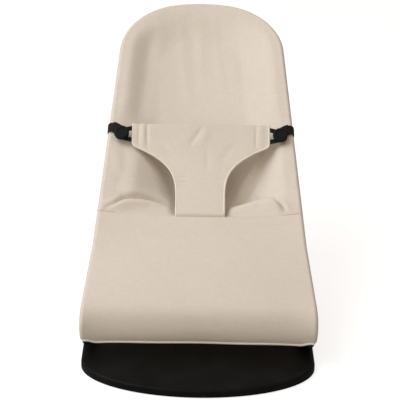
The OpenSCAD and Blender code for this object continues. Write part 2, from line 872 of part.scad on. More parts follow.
// Taut panel over the toe bends, from the hem to the knee seam, which sags a little
module leg_panel() {
    hem_steps = 12;
    flat_s = toe_s + 30;
    arc_rows = [
        for (i = [hem_steps:-1:0])
            let(a = hem_angle * i / hem_steps, out = cos(a) * bend_up - sin(a) * low_dir)
            [bend_centre + toe_bend_r * out, out]
    ];
    run_rows = [
        for (s = [flat_s, 0.7 * flat_s + 0.3 * knee_s, side_pt[1], 0.2 * flat_s + 0.8 * knee_s, knee_s])
            [[rod_half(s), s, rod_n], [0, 0, 1]]
    ];
    function drop(x, s) =
        knee_sag * ease((s - flat_s) / (knee_s - flat_s)) * edge_share(x, s);
    function row(edge, off) = [
        for (j = [-cover_cols / 2:cover_cols / 2])
            let(p = edge[0] + off * edge[1], x = (p[0] + edge_out) * sin(180 * j / cover_cols))
            [x, p[1], p[2] - drop(x, p[1])]
    ];
    color([0.8, 0.74, 0.66])
        on_seat()
            sheet([for (edge = concat(arc_rows, run_rows)) row(edge, cover_top)],
                  [for (edge = concat(arc_rows, run_rows)) row(edge, cloth_under)]);
}

// -- buttons --

// Frame of the webbing: level across the seat, tilted forward about its middle line
module on_webbing() {
    on_seat()
        translate([0, button_s, rod_n + web_lift])
            rotate([button_tilt, 0, 0])
                children();
}

// Piece of the webbing between two distances from the middle and two heights
function web_lean(x) = (x - button_x) * tan(web_turn);
module web_run(x0, x1, z0, z1) {
    translate([0, 0, z0])
        linear_extrude(z1 - z0)
            polygon([
                [x0, web_lean(x0) - web_w / 2], [x1, web_lean(x1) - web_w / 2],
                [x1, web_lean(x1) + web_w / 2], [x0, web_lean(x0) + web_w / 2]
            ]);
}

// Webbing that hooks round the side rod and carries a button
module button_strap() {
    rod_x = rod_half(button_s);
    tongue = button_x - button_r + 3;
    wall = rod_x + edge_out + 0.9;
    top_y = web_lean(wall) + web_w / 2;
    hook_z = -(web_lift + cloth_under + top_y * sin(button_tilt)) / cos(button_tilt);
    color([0.07, 0.07, 0.07])
        on_webbing() {
            web_run(tongue, wall + web_t, 0, web_t);
            web_run(wall, wall + web_t, hook_z - web_t, web_t);
            web_run(rod_x - rod_r, wall + web_t, hook_z - web_t, hook_z);
        }
}

// Round button: base flange, post and domed cap with a recessed face
module button() {
    base_r = button_r * 0.6;
    post_r = 3;
    cap_t = 7;
    edge_r = 3;
    rim_w = 2;
    recess = 1;
    color([0.06, 0.06, 0.06])
        on_webbing()
            translate([button_x, 0, 0])
                rotate_extrude()
                    polygon([
                        [0, web_t],
                        [base_r, web_t],
                        [base_r, web_t + button_base_t],
                        [post_r, web_t + button_base_t],
                        [post_r, cap_z],
                        [button_r - 1, cap_z],
                        [button_r, cap_z + 1],
                        for (a = [0:15:90])
                            [button_r + edge_r * (cos(a) - 1), cap_z + cap_t + edge_r * (sin(a) - 1)],
                        [button_r - edge_r - rim_w, cap_z + cap_t],
                        [button_r - edge_r - rim_w - recess, cap_z + cap_t - recess],
                        [0, cap_z + cap_t - recess]
                    ]);
}

// -- restraint --

strap_straight = 20;
function panel_half(s) =
    let(start = knee_s + strap_straight)
    crotch_half_w + (waist_half_w - crotch_half_w)
        * pow(min(1, max(0, (s - start) / (waist_s - start))), 4);

// Height of the restraint's middle line above the side rods, and of the band's ends
top_rise = 18;
strap_sag = 11;
function panel_mid(s) =
    let(u = (s - knee_s) / restraint_len)
    (seam_n - rod_n) * (1 - u) + top_rise * u - 4 * strap_sag * u * (1 - u);
function band_end(s) =
    web_lift + (loop_z + loop_t / 2) / cos(button_tilt) + (s - button_s) * tan(button_tilt);
function panel_rise(x, s) =
    let(near = max(s, waist_s))
    (band_end(near) - panel_mid(near)) * pow(abs(x) / waist_half_w, 2)
        * ease((s - knee_s) / (waist_s - knee_s));

panel_rows = [
    for (i = [0:17]) knee_s + 0.5 + (restraint_len - 0.5) * i / 17
];

module restraint_panel() {
    function face(s, off) = [
        for (j = [-8:8])
            let(x = panel_half(s) * j / 8)
            [x, s, rod_n + panel_mid(s) + panel_rise(x, s) + off]
    ];
    color([0.8, 0.74, 0.66])
        on_seat()
            sheet([for (s = panel_rows) face(s, panel_t / 2)],
                  [for (s = panel_rows) face(s, -panel_t / 2)]);
}

// Elastic loop at the waist band's end; its two bars meet round the button's post
module strap_loop() {
    bar_w = 6.5;
    root_h = 16;
    tip_h = 4.5;
    reach = button_x - waist_half_w;
    color([0.07, 0.07, 0.07])
        on_webbing()
            translate([waist_half_w + eps, 0, loop_z])
                linear_extrude(loop_t)
                    difference() {
                        union() {
                            polygon([[0, -root_h], [reach, -tip_h - bar_w + 1],
                                     [reach, tip_h + bar_w - 1], [0, root_h]]);
                            translate([reach, 0])
                                circle(tip_h + bar_w - 1);
                        }
                        polygon([[2.5, bar_w - root_h], [reach, -tip_h],
                                 [reach, tip_h], [2.5, root_h - bar_w]]);
                        translate([reach, 0])
                            circle(tip_h);
                    }
}

module left_side() {
    mirror([1, 0, 0])
        children();
}

module hinge_block_left() { left_side() hinge_block(); }
module hinge_block_right() { hinge_block(); }
module hinge_pin_left() { left_side() hinge_pin(); }
module hinge_pin_right() { hinge_pin(); }
module rack_left() { left_side() rack(); }
module rack_right() { rack(); }
module rear_foot_left() { left_side() rear_foot(); }
module rear_foot_right() { rear_foot(); }
module seat_knuckle_left() { left_side() seat_knuckle(); }
module seat_knuckle_right() { seat_knuckle(); }
module support_bracket_left() { left_side() support_bracket(); }
module support_bracket_right() { support_bracket(); }
module support_pin_left() { left_side() support_pin(); }
module support_pin_right() { support_pin(); }
module button_strap_left() { left_side() button_strap(); }
module button_strap_right() { button_strap(); }
module button_left() { left_side() button(); }
module button_right() { button(); }
module foot_sleeve_left() { left_side() foot_sleeve(); }
module foot_sleeve_right() { foot_sleeve(); }
module strap_loop_left() { left_side() strap_loop(); }
module strap_loop_right() { strap_loop(); }

front_plate();
plate_pads();
base_frame();
rod_clamps();
clamp_screws();
hinge_block_left();
hinge_block_right();
hinge_screws();
hinge_pin_left();
hinge_pin_right();
rack_left();
rack_right();
rack_screws();
rear_foot_left();
rear_foot_right();
seat_frame();
seat_knuckle_left();
seat_knuckle_right();
support_bracket_left();
support_bracket_right();
support_pin_left();
support_pin_right();
bracket_screws();
seat_cover();
leg_panel();
head_pocket();
button_strap_left();
button_strap_right();
button_left();
button_right();
support_bar();
foot_sleeve_left();
foot_sleeve_right();
restraint_panel();
strap_loop_left();
strap_loop_right();
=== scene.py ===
import math

import bmesh
import bpy
import numpy as np
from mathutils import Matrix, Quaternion, Vector
from mathutils.bvhtree import BVHTree

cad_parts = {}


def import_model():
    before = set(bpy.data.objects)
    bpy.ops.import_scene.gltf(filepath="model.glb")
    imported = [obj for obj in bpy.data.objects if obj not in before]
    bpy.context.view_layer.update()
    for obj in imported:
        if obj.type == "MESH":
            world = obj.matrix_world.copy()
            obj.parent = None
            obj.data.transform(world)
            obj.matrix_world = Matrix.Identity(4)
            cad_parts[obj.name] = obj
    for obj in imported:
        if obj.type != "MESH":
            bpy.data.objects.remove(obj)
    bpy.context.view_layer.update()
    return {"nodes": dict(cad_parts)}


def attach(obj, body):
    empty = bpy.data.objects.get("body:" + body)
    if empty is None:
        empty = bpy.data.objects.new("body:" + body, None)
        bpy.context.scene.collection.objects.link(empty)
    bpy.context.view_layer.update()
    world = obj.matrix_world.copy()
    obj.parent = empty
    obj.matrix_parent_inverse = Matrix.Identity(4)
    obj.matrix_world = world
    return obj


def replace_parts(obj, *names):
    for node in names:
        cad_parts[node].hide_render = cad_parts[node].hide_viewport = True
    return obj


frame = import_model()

MM = 0.001


# -- the seat's shape in millimetres, as in the CAD source --

SLOPE = math.radians(28)
HINGE_Y, HINGE_Z = -230.0, 28.0
ROD_R = 4.0
TOE_HALF = 189.5
TOE_R = 40.0
TOE_LEAN = math.radians(5)
TAPER_LOW, TAPER_HIGH = math.radians(5.8), math.radians(3.4)
SIDE_LOW = 125.0
HEAD_S, HEAD_R = 572.0, 122.0
CROWN = math.radians(11)
KNEE_S = 187.0
HEM = math.radians(95)
STRAP_LEN = 190.0
BAND_H = 42.0
CROTCH = 42.0
BUTTON_S, BUTTON_INSET = 358.0, 20.0
BUTTON_TILT = math.radians(14)

LOW = np.array([-math.sin(TAPER_LOW), math.cos(TAPER_LOW), 0])
UP = np.array([math.sin(TOE_LEAN) * math.cos(TAPER_LOW),
               math.sin(TOE_LEAN) * math.sin(TAPER_LOW), math.cos(TOE_LEAN)])
SWEEP, TAIL = math.radians(150), 30.0
TAIL_DIR = -math.sin(SWEEP) * UP - math.cos(SWEEP) * LOW
DROP = TOE_R * (math.cos(SWEEP) - 1) * UP - TOE_R * math.sin(SWEEP) * LOW + TAIL * TAIL_DIR
ROD_N, TOE_S = -DROP[2], -DROP[1]
SIDE_X = TOE_HALF - SIDE_LOW * math.sin(TAPER_LOW)
SIDE_S = TOE_S + SIDE_LOW * math.cos(TAPER_LOW)
CORNER_X = SIDE_X - (HEAD_S - SIDE_S) * math.tan(TAPER_HIGH) - HEAD_R / math.cos(TAPER_HIGH)
CROWN_R = HEAD_R + CORNER_X / math.sin(CROWN)
CROWN_S = HEAD_S - (CROWN_R - HEAD_R) * math.cos(CROWN)


def world(p):
    """Seat coordinates (across, along, out of the seat), in mm, to the row frame in metres."""
    p = np.asarray(p, float)
    x, s, n = p[..., 0], p[..., 1], p[..., 2]
    y = HINGE_Y + s * math.cos(SLOPE) - n * math.sin(SLOPE)
    z = HINGE_Z + s * math.sin(SLOPE) + n * math.cos(SLOPE)
    return np.stack([x, y, z], -1) * MM


def half(s):
    """Half width between the side rods at a distance along the seat."""
    s = np.asarray(s, float)
    low = TOE_HALF - (s - TOE_S) * math.tan(TAPER_LOW)
    high = SIDE_X - (s - SIDE_S) * math.tan(TAPER_HIGH)
    bow = CORNER_X + np.sqrt(np.maximum(0, HEAD_R ** 2 - (s - HEAD_S) ** 2))
    crown = np.sqrt(np.maximum(0, CROWN_R ** 2 - (s - CROWN_S) ** 2))
    out = np.where(s < SIDE_S, low, high)
    out = np.where(s > HEAD_S + HEAD_R * math.sin(TAPER_HIGH), bow, out)
    return np.where(s > HEAD_S + HEAD_R * math.cos(CROWN), crown, out)


def ease(u):
    return 0.5 - 0.5 * np.cos(math.pi * np.clip(u, 0, 1))


def bump(d, width):
    return np.exp(-(np.asarray(d) / width) ** 2)


# -- mesh helpers --

def mesh_object(name, verts, faces, uvs=None, smooth=True):
    me = bpy.data.meshes.new(name)
    me.from_pydata(np.asarray(verts, float).tolist(), [], [list(map(int, f)) for f in faces])
    if uvs is not None:
        layer = me.uv_layers.new(name="cloth")
        at = np.empty(len(me.loops), int)
        me.loops.foreach_get("vertex_index", at)
        layer.data.foreach_set("uv", np.asarray(uvs, float)[at].ravel())
    me.polygons.foreach_set("use_smooth", [smooth] * len(me.polygons))
    me.validate()
    me.update()
    obj = bpy.data.objects.new(name, me)
    bpy.context.scene.collection.objects.link(obj)
    return obj


def grid(name, points, closed=False, skip=None):
    """Quad mesh over a grid of points in metres, with its UVs in metres along the cloth."""
    rows, cols = points.shape[:2]
    index = np.arange(rows * cols).reshape(rows, cols)
    if closed:
        index = np.concatenate([index, index[:, :1]], 1)
    a, b = index[:-1, :-1].ravel(), index[:-1, 1:].ravel()
    c, d = index[1:, 1:].ravel(), index[1:, :-1].ravel()
    faces = np.stack([a, b, c, d], 1)
    if skip is not None:
        faces = faces[~skip.ravel()]
    across = np.concatenate([np.zeros((rows, 1)), np.cumsum(
        np.linalg.norm(np.diff(points, axis=1), axis=2), 1)], 1)
    across -= across[:, cols // 2][:, None]
    along = np.concatenate([np.zeros((1, cols)), np.cumsum(
        np.linalg.norm(np.diff(points, axis=0), axis=2), 0)], 0)
    along = np.repeat(along[:, cols // 2][:, None], cols, 1)
    uvs = np.stack([across, along], -1).reshape(-1, 2)
    return mesh_object(name, points.reshape(-1, 3), faces, uvs)


def weld(obj, distance=0.0004):
    bm = bmesh.new()
    bm.from_mesh(obj.data)
    bmesh.ops.remove_doubles(bm, verts=bm.verts, dist=distance)
    bmesh.ops.recalc_face_normals(bm, faces=bm.faces)
    bm.to_mesh(obj.data)
    bm.free()
    obj.data.polygons.foreach_set("use_smooth", [True] * len(obj.data.polygons))
    return obj


def apply_modifiers(obj):
    bpy.context.view_layer.update()
    made = bpy.data.meshes.new_from_object(obj.evaluated_get(bpy.context.evaluated_depsgraph_get()))
    obj.modifiers.clear()
    obj.data = made
    return obj


def thicken(obj, mm):
    m = obj.modifiers.new("thick", "SOLIDIFY")
    m.thickness = mm * MM
    m.offset = 0
    m.use_even_offset = False
    apply_modifiers(obj)
    obj.data.polygons.foreach_set("use_smooth", [True] * len(obj.data.polygons))
    return obj


def resample(points, step):
    points = np.asarray(points, float)
    length = np.concatenate([[0], np.cumsum(np.linalg.norm(np.diff(points, axis=0), axis=1))])
    count = max(2, int(round(length[-1] / step)) + 1)
    at = np.linspace(0, length[-1], count)
    return np.stack([np.interp(at, length, points[:, k]) for k in range(3)], 1)


def frames(path, normal):
    """Tangent, side and up at each point of a path, with up near the given normal."""
    tangent = np.gradient(path, axis=0)
    tangent /= np.linalg.norm(tangent, axis=1)[:, None]
    normal = np.broadcast_to(np.asarray(normal, float), path.shape)
    up = normal - (normal * tangent).sum(1)[:, None] * tangent
    up /= np.linalg.norm(up, axis=1)[:, None]
    return tangent, np.cross(tangent, up), up


def sweep(name, path, normal, section, cap=True):
    """A closed section, in mm across and up, along a path in metres."""
    tangent, side, up = frames(path, normal)
    section = np.asarray(section, float) * MM
    pts = (path[:, None] + side[:, None] * section[None, :, :1]
           + up[:, None] * section[None, :, 1:])
    obj = grid(name, pts, closed=True)
    if cap:
        bm = bmesh.new()
        bm.from_mesh(obj.data)
        bmesh.ops.holes_fill(bm, edges=[e for e in bm.edges if e.is_boundary], sides=0)
        bmesh.ops.recalc_face_normals(bm, faces=bm.faces)
        bm.to_mesh(obj.data)
        bm.free()
    obj.data.polygons.foreach_set("use_smooth", [True] * len(obj.data.polygons))
    return obj


def oval(width, height, count=12, power=1.0):
    a = np.arange(count) * 2 * math.pi / count
    c, s = np.cos(a), np.sin(a)
    return np.stack([width / 2 * np.sign(c) * np.abs(c) ** power,
                     height / 2 * np.sign(s) * np.abs(s) ** power], 1)


def stitches(name, path, normal, pitch=3.6, length=2.5, thick=0.5, lift=0.15):
    """A row of thread stitches along a path in metres: short spindles pressed into the cloth."""
    path = resample(path, pitch * MM)
    if len(path) < 3:
        return None
    tangent, side, up = frames(path, normal)
    ring = [(-0.5, 0.25), (-0.3, 1.0), (0.3, 1.0), (0.5, 0.25)]
    sides = 5
    verts, faces = [], []
    for p, t, s, u in zip(path, tangent, side, up):
        base = len(verts)
        for along, fat in ring:
            for k in range(sides):
                a = 2 * math.pi * k / sides
                off = s * math.cos(a) + u * math.sin(a)
                verts.append(p + t * along * length * MM + off * fat * thick / 2 * MM
                             + u * (lift - 0.25 * (2 * along) ** 2) * MM)
        for r in range(len(ring) - 1):
            for k in range(sides):
                k2 = (k + 1) % sides
                faces.append([base + r * sides + k, base + r * sides + k2,
                              base + (r + 1) * sides + k2, base + (r + 1) * sides + k])
        faces.append([base + k for k in range(sides)][::-1])
        faces.append([base + (len(ring) - 1) * sides + k for k in range(sides)])
    return mesh_object(name, verts, faces)


def finish_piece(obj, mat, body):
    obj.data.materials.clear()
    obj.data.materials.append(mat)
    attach(obj, body)
    return obj


# -- materials --

def new_material(name):
    m = bpy.data.materials.new(name)
    m.use_nodes = True
    nodes, links = m.node_tree.nodes, m.node_tree.links
    return m, nodes, links, nodes["Principled BSDF"]


def noise(nodes, links, coords, scale, detail=3.0, rough=0.55):
    t = nodes.new("ShaderNodeTexNoise")
    t.inputs["Scale"].default_value = scale
    t.inputs["Detail"].default_value = detail
    t.inputs["Roughness"].default_value = rough
    links.new(coords, t.inputs["Vector"])
    return t.outputs["Fac"]


def span(nodes, links, value, low, high, start=0.0, end=1.0):
    r = nodes.new("ShaderNodeMapRange")
    r.inputs["From Min"].default_value = start
    r.inputs["From Max"].default_value = end
    r.inputs["To Min"].default_value = low
    r.inputs["To Max"].default_value = high
    links.new(value, r.inputs["Value"])
    return r.outputs["Result"]


def maths(nodes, links, kind, a, b):
    m = nodes.new("ShaderNodeMath")
    m.operation = kind
    for socket, v in zip(m.inputs, (a, b)):
        if isinstance(v, (int, float)):
            socket.default_value = v
        else:
            links.new(v, socket)
    return m.outputs[0]


def blend_colours(nodes, links, fac, a, b):
    mix = nodes.new("ShaderNodeMix")
    mix.data_type = "RGBA"
    links.new(fac, mix.inputs["Factor"])
    mix.inputs["A"].default_value = (*a, 1)
    mix.inputs["B"].default_value = (*b, 1)
    return mix.outputs["Result"]


def add_bump(nodes, links, bsdf, layers, under=None):
    """Stacked bumps: (height socket, strength, distance in metres)."""
    normal = under
    for height, strength, distance in layers:
        b = nodes.new("ShaderNodeBump")
        b.inputs["Strength"].default_value = strength
        b.inputs["Distance"].default_value = distance
        links.new(height, b.inputs["Height"])
        if normal is not None:
            links.new(normal, b.inputs["Normal"])
        normal = b.outputs["Normal"]
    links.new(normal, bsdf.inputs["Normal"])


def woven(name, light, dark, pitch=0.9, relief=0.00012, sheen=0.25, rough=0.9, slub=0.35,
          grain=0.0):
    """Plain woven cloth: two crossed sets of threads, with slubs and a faint melange."""
    m, nodes, links, bsdf = new_material(name)
    tc = nodes.new("ShaderNodeTexCoord")
    uv, place = tc.outputs["UV"], tc.outputs["Object"]
    threads = []
    for axis in ("X", "Y"):
        w = nodes.new("ShaderNodeTexWave")
        w.wave_type = "BANDS"
        w.bands_direction = axis
        w.inputs["Scale"].default_value = 0.314 / (pitch * MM)
        w.inputs["Distortion"].default_value = 0.6
        w.inputs["Detail"].default_value = 1.0
        w.inputs["Detail Scale"].default_value = 0.3
        links.new(uv, w.inputs["Vector"])
        threads.append(w.outputs["Fac"])
    weave = maths(nodes, links, "MULTIPLY", threads[0], threads[1])
    stretch = nodes.new("ShaderNodeMapping")
    stretch.inputs["Scale"].default_value = (60, 900, 1)
    links.new(uv, stretch.inputs["Vector"])
    slubs = noise(nodes, links, stretch.outputs["Vector"], 1.0, 2.0)
    melange = noise(nodes, links, place, 420, 3.0, 0.7)
    cloud = noise(nodes, links, place, 9, 2.0)
    streaks = []
    for scale in ((45, 420, 1), (420, 60, 1)):
        drawn = nodes.new("ShaderNodeMapping")
        drawn.inputs["Scale"].default_value = scale
        links.new(uv, drawn.inputs["Vector"])
        streaks.append(noise(nodes, links, drawn.outputs["Vector"], 1.0, 3.0, 0.7))
    linen = maths(nodes, links, "ADD", streaks[0], maths(nodes, links, "MULTIPLY", streaks[1], 0.7))
    tone = maths(nodes, links, "ADD",
                 maths(nodes, links, "ADD", maths(nodes, links, "MULTIPLY", slubs, slub),
                       maths(nodes, links, "MULTIPLY", linen, grain)),
                 maths(nodes, links, "ADD", maths(nodes, links, "MULTIPLY", melange, 0.35),
                       maths(nodes, links, "MULTIPLY", cloud, 0.3)))
    spread = span(nodes, links, tone, 0, 1, 0.3 + 0.75 * grain, 0.75 + 0.95 * grain)
    links.new(blend_colours(nodes, links, spread, dark, light), bsdf.inputs["Base Color"])
    links.new(span(nodes, links, melange, rough - 0.06, rough + 0.06), bsdf.inputs["Roughness"])
    bsdf.inputs["Sheen Weight"].default_value = sheen
    bsdf.inputs["Sheen Roughness"].default_value = 0.6
    bsdf.inputs["Specular IOR Level"].default_value = 0.25
    add_bump(nodes, links, bsdf, [(slubs, 0.25, relief), (weave, 0.6, relief)])
    return m


def moulded(name, colour, rough, grain=900, relief=0.00004, rubber=False, edge=0.0006,
            gloss=0.5):
    """Moulded plastic, rubber or coated metal: fine grain, uneven gloss and rounded edges."""
    m, nodes, links, bsdf = new_material(name)
    place = nodes.new("ShaderNodeTexCoord").outputs["Object"]
    fine = noise(nodes, links, place, grain, 2.0)
    cloud = noise(nodes, links, place, 24, 4.0, 0.65)
    pale = tuple(min(1, c * 1.5 + 0.006) for c in colour)
    links.new(blend_colours(nodes, links, span(nodes, links, cloud, 0, 1, 0.3, 0.8), colour, pale),
              bsdf.inputs["Base Color"])
    links.new(span(nodes, links, maths(nodes, links, "ADD", cloud, maths(
        nodes, links, "MULTIPLY", fine, 0.5)), rough - 0.07, rough + 0.09, 0.4, 1.1),
        bsdf.inputs["Roughness"])
    bsdf.inputs["Specular IOR Level"].default_value = 0.3 if rubber else gloss
    bevel = nodes.new("ShaderNodeBevel")
    bevel.samples = 4
    bevel.inputs["Radius"].default_value = edge
    add_bump(nodes, links, bsdf, [(fine, 0.35, relief)], bevel.outputs["Normal"])
    return m


def metal(name, colour, rough):
    m, nodes, links, bsdf = new_material(name)
    place = nodes.new("ShaderNodeTexCoord").outputs["Object"]
    stain = noise(nodes, links, place, 160, 4.0)
    dark = tuple(c * 0.6 for c in colour)
    links.new(blend_colours(nodes, links, span(nodes, links, stain, 0, 1, 0.3, 0.7), dark, colour),
              bsdf.inputs["Base Color"])
    links.new(span(nodes, links, stain, rough - 0.08, rough + 0.12), bsdf.inputs["Roughness"])
    bsdf.inputs["Metallic"].default_value = 0.9
    bevel = nodes.new("ShaderNodeBevel")
    bevel.samples = 4
    bevel.inputs["Radius"].default_value = 0.0004
    add_bump(nodes, links, bsdf, [(noise(nodes, links, place, 1400, 2.0), 0.2, 0.00003)],
             bevel.outputs["Normal"])
    return m


CLOTH = woven("cotton_weave", (0.735, 0.662, 0.572), (0.635, 0.565, 0.478), slub=0.2, grain=0.7)
UNDER = woven("cotton_weave_back", (0.65, 0.593, 0.508), (0.59, 0.53, 0.445))
# Binding tape: a paler cotton, brightened further with painted light so that the shaded leg hem shows as a
# lit band. The same brightened colour is used on every binding.
BINDING_WITH_PAINTED_LIGHT = woven("cotton_binding_painted_light", (0.80, 0.74, 0.65), (0.74, 0.675, 0.58), pitch=0.7)
THREAD = woven("sewing_thread", (0.76, 0.68, 0.58), (0.68, 0.60, 0.50), pitch=0.5)
WEBBING = woven("polyester_webbing", (0.008, 0.007, 0.007), (0.005, 0.005, 0.005), pitch=1.5,
                relief=0.0003, sheen=0.01, rough=0.8)
ELASTIC = woven("elastic_band", (0.006, 0.0055, 0.0055), (0.004, 0.004, 0.004), pitch=1.1,
                relief=0.0003, sheen=0.01, rough=0.8)
ROD = moulded("powder_coat", (0.013, 0.013, 0.014), 0.42, grain=1500, relief=0.00006)
PLATE = moulded("satin_plastic", (0.0022, 0.0022, 0.0023), 0.5, grain=1300, relief=0.00003,
                edge=0.0016, gloss=0.08)
PLASTIC = moulded("moulded_plastic", (0.011, 0.011, 0.011), 0.5, grain=1100, relief=0.00005)
BUTTON = moulded("button_plastic", (0.004, 0.0045, 0.005), 0.45, grain=1400, relief=0.00003,
                 gloss=0.1)
RUBBER = moulded("rubber", (0.018, 0.018, 0.018), 0.8, grain=700, relief=0.0001, rubber=True)
STEEL = metal("dark_steel", (0.32, 0.31, 0.30), 0.38)

for node, obj in frame["nodes"].items():
    if "screws" in node or "pin" in node or node == "rod_clamps":
        mat = STEEL
    elif node in ("seat_frame", "base_frame", "support_bar"):
        mat = ROD
    elif node.startswith(("foot_sleeve", "rear_foot")) or node == "plate_pads":
        mat = RUBBER
    elif node == "front_plate":
        mat = PLATE
    elif node in ("button_left", "button_right"):
        mat = BUTTON
    else:
        mat = PLASTIC
    if not obj.material_slots:
        obj.data.materials.append(None)
    for s in obj.material_slots:
        s.link = "OBJECT"
        s.material = mat


# -- cloth surfaces, in seat coordinates --

WRAP = 5.3          # distance of the cloth's middle from the rod's centre
WRAP_ANGLE = math.radians(205)
COVER_FLAP = (3, 6, 10, 14)   # rows of the cloth turned in past the rod
LEG_FLAP = (3, 6, 10)
KNEE_SAG = 9.0
KNEE_BOW = 4.0       # the seam's middle lies this far down the seat
HIP_S = KNEE_S + 0.42 * STRAP_LEN
BACK_S = HIP_S + 0.97 * STRAP_LEN
HIP_DEPTH, BACK_DEPTH, SHOULDER = 70.0, 26.0, 75.0
CROWN_TOP = CROWN_S + CROWN_R


def sling_depth(s, steep=0.9):
    s = np.asarray(s, float)
    front = KNEE_SAG + (HIP_DEPTH - KNEE_SAG) * np.sin(
        math.pi / 2 * np.clip((s - KNEE_S) / (HIP_S - KNEE_S), 0, 1)) ** steep
    middle = HIP_DEPTH - (HIP_DEPTH - BACK_DEPTH) * ease((s - HIP_S) / (BACK_S - HIP_S))
    end = BACK_DEPTH * np.sqrt(np.maximum(0, 1 - (np.maximum(0, s - BACK_S)
                                                  / (CROWN_TOP - 8 - BACK_S)) ** 2))
    return np.where(s < HIP_S, front, np.where(s < BACK_S, middle, end))


def crease(x, s, points, width, height):
    """A soft ridge, or a valley if height is below 0, along a line of (x, s) points."""
    points = np.asarray(points, float)
    best = np.full(np.shape(x), 1e9)
    part = np.zeros(np.shape(x))
    length = np.concatenate([[0], np.cumsum(np.linalg.norm(np.diff(points, axis=0), axis=1))])
    for i in range(len(points) - 1):
        a, b = points[i], points[i + 1]
        d = b - a
        t = np.clip(((x - a[0]) * d[0] + (s - a[1]) * d[1]) / (d @ d), 0, 1)
        dist = np.hypot(x - a[0] - t * d[0], s - a[1] - t * d[1])
        near = dist < best
        best = np.where(near, dist, best)
        part = np.where(near, (length[i] + t * (length[i + 1] - length[i])) / length[-1], part)
    fade = np.sin(np.pi * np.clip(part * 0.94 + 0.03, 0, 1)) ** 0.7
    return height * fade * np.exp(-(best / width) ** 2)


def fall(x, s, points, width, height):
    """A step down over a width, to the right of a line of (x, s) points as it is followed."""
    points = np.asarray(points, float)
    best, side = np.full(np.shape(x), 1e9), np.zeros(np.shape(x))
    for a, b in zip(points[:-1], points[1:]):
        d = b - a
        t = np.clip(((x - a[0]) * d[0] + (s - a[1]) * d[1]) / (d @ d), 0, 1)
        gap = np.hypot(x - a[0] - t * d[0], s - a[1] - t * d[1])
        turn = d[1] * (x - a[0]) - d[0] * (s - a[1])
        near = gap < best
        best = np.where(near, gap, best)
        side = np.where(near, np.sign(turn), side)
    return -height * ease(best * side / width)


def both(points):
    """The same line on the left and on the right side."""
    return [[(side * x, s) for x, s in points] for side in (-1, 1)]


def cover_relief(x, s):
    """Soft unevenness and folds of the sling, out of its surface."""
    inner = half(s)
    edge = inner - np.abs(x)
    share = ease((edge - 7) / np.maximum(inner - 7, 1))
    # a lip beside the crotch strap, before the hollow
    lip = (sling_depth(s) - sling_depth(s, 1.7)) * share * ease((np.abs(x) - 38) / 20)
    r = lip
    # steeper cloth beside the crotch strap
    near = ease((edge - 18) / 40) * ease((395 - s) / 50) * ease((s - KNEE_S - 34) / 22) * (
        1 - 0.7 * bump(x, 26))
    r += near * fall(x, s, [(-60, 222), (-76, 262), (-90, 296), (-106, 322), (-128, 356)], 40, 17)
    r += near * fall(x, s, [(124, 350), (112, 318), (94, 288), (77, 254), (56, 208)], 18, -9)
    # valley beside the rolled edge of the backrest
    back = ease((s - 385) / 60) * ease((655 - s) / 60)
    r -= np.where(x < 0, 3.4, 0.8) * back * bump(edge - 46, 14)
    r += 1.6 * back * bump(edge - 18, 11)
    bowl = np.cos(math.pi / 2 * np.clip(x / 118, -1, 1)) ** 2
    r -= 7 * bowl * ease((s - 360) / 90) * ease((690 - s) / 90)
    # faint ripples down the backrest
    for at, tall, wide in ((-34, 0.8, 8), (-14, -0.6, 8), (33, 0.8, 7), (74, -0.5, 10), (-78, 0.5, 12)):
        ripple = bump(x - at - 6 * np.sin(s / 60), wide)
        r += 0.7 * tall * ripple * ease((s - 460) / 60) * ease((680 - s) / 50)
    r += 0.7 * np.sin(s / 23 + x / 40) * bump(x + 20, 90) * bump(s - 620, 60)
    # small cross wrinkles where the side sleeves are gathered
    for points, tall in (
        ([(-159, 476), (-146, 479), (-132, 476)], -1.3),
        ([(-159, 466), (-148, 463), (-138, 468)], -0.8),
        ([(-158, 451), (-146, 455), (-132, 462)], -1.2),
        ([(159, 489), (147, 489), (134, 486)], -1.1),
        ([(160, 470), (150, 468), (139, 472)], -0.8),
        ([(161, 446), (150, 448), (141, 443)], -0.7),
        ([(-163, 420), (-150, 424), (-140, 421)], -0.7),
    ):
        r += crease(x, s, points, 3.2, tall)
    # cloth drawn from the buttons down to the leg openings
    for points in both([(160, 368), (146, 363), (130, 360), (112, 350)]):
        r += crease(x, s, points, 4.5, 2.6)
    for points in both([(156, 356), (140, 349), (124, 338)]):
        r += crease(x, s, points, 5, -2.0)
    # folds that run down into the hollow behind the crotch strap
    r += crease(x, s, [(-128, 362), (-110, 350), (-92, 335), (-73, 307), (-54, 266), (-42, 240)], 9, 2.5)
    r += crease(x, s, [(128, 362), (120, 346), (104, 306), (87, 272), (66, 226)], 6, -3.0)
    r += crease(x, s, [(-150, 330), (-146, 300), (-142, 270)], 9, 1.6)
    r += crease(x, s, [(150, 320), (147, 290), (140, 262)], 9, 1.4)
    # rolls above the knee seam, each with a crease behind it
    r += crease(x, s, [(-172, 196), (-148, 204), (-120, 212), (-90, 216), (-66, 214), (-48, 208)], 10, 8)
    r += crease(x, s, [(-164, 196), (-149, 206), (-135, 220), (-114, 228), (-88, 232), (-64, 230),
                       (-44, 222)],
                3.2, -13)
    r += crease(x, s, [(158, 196), (130, 212), (104, 220), (76, 214), (50, 206)], 11, 8)
    r += crease(x, s, [(149, 196), (141, 211), (127, 229), (114, 241), (98, 257)], 3.6, -12)
    r += crease(x, s, [(140, 198), (128, 216), (112, 230), (96, 240)], 6, 5)
    return r


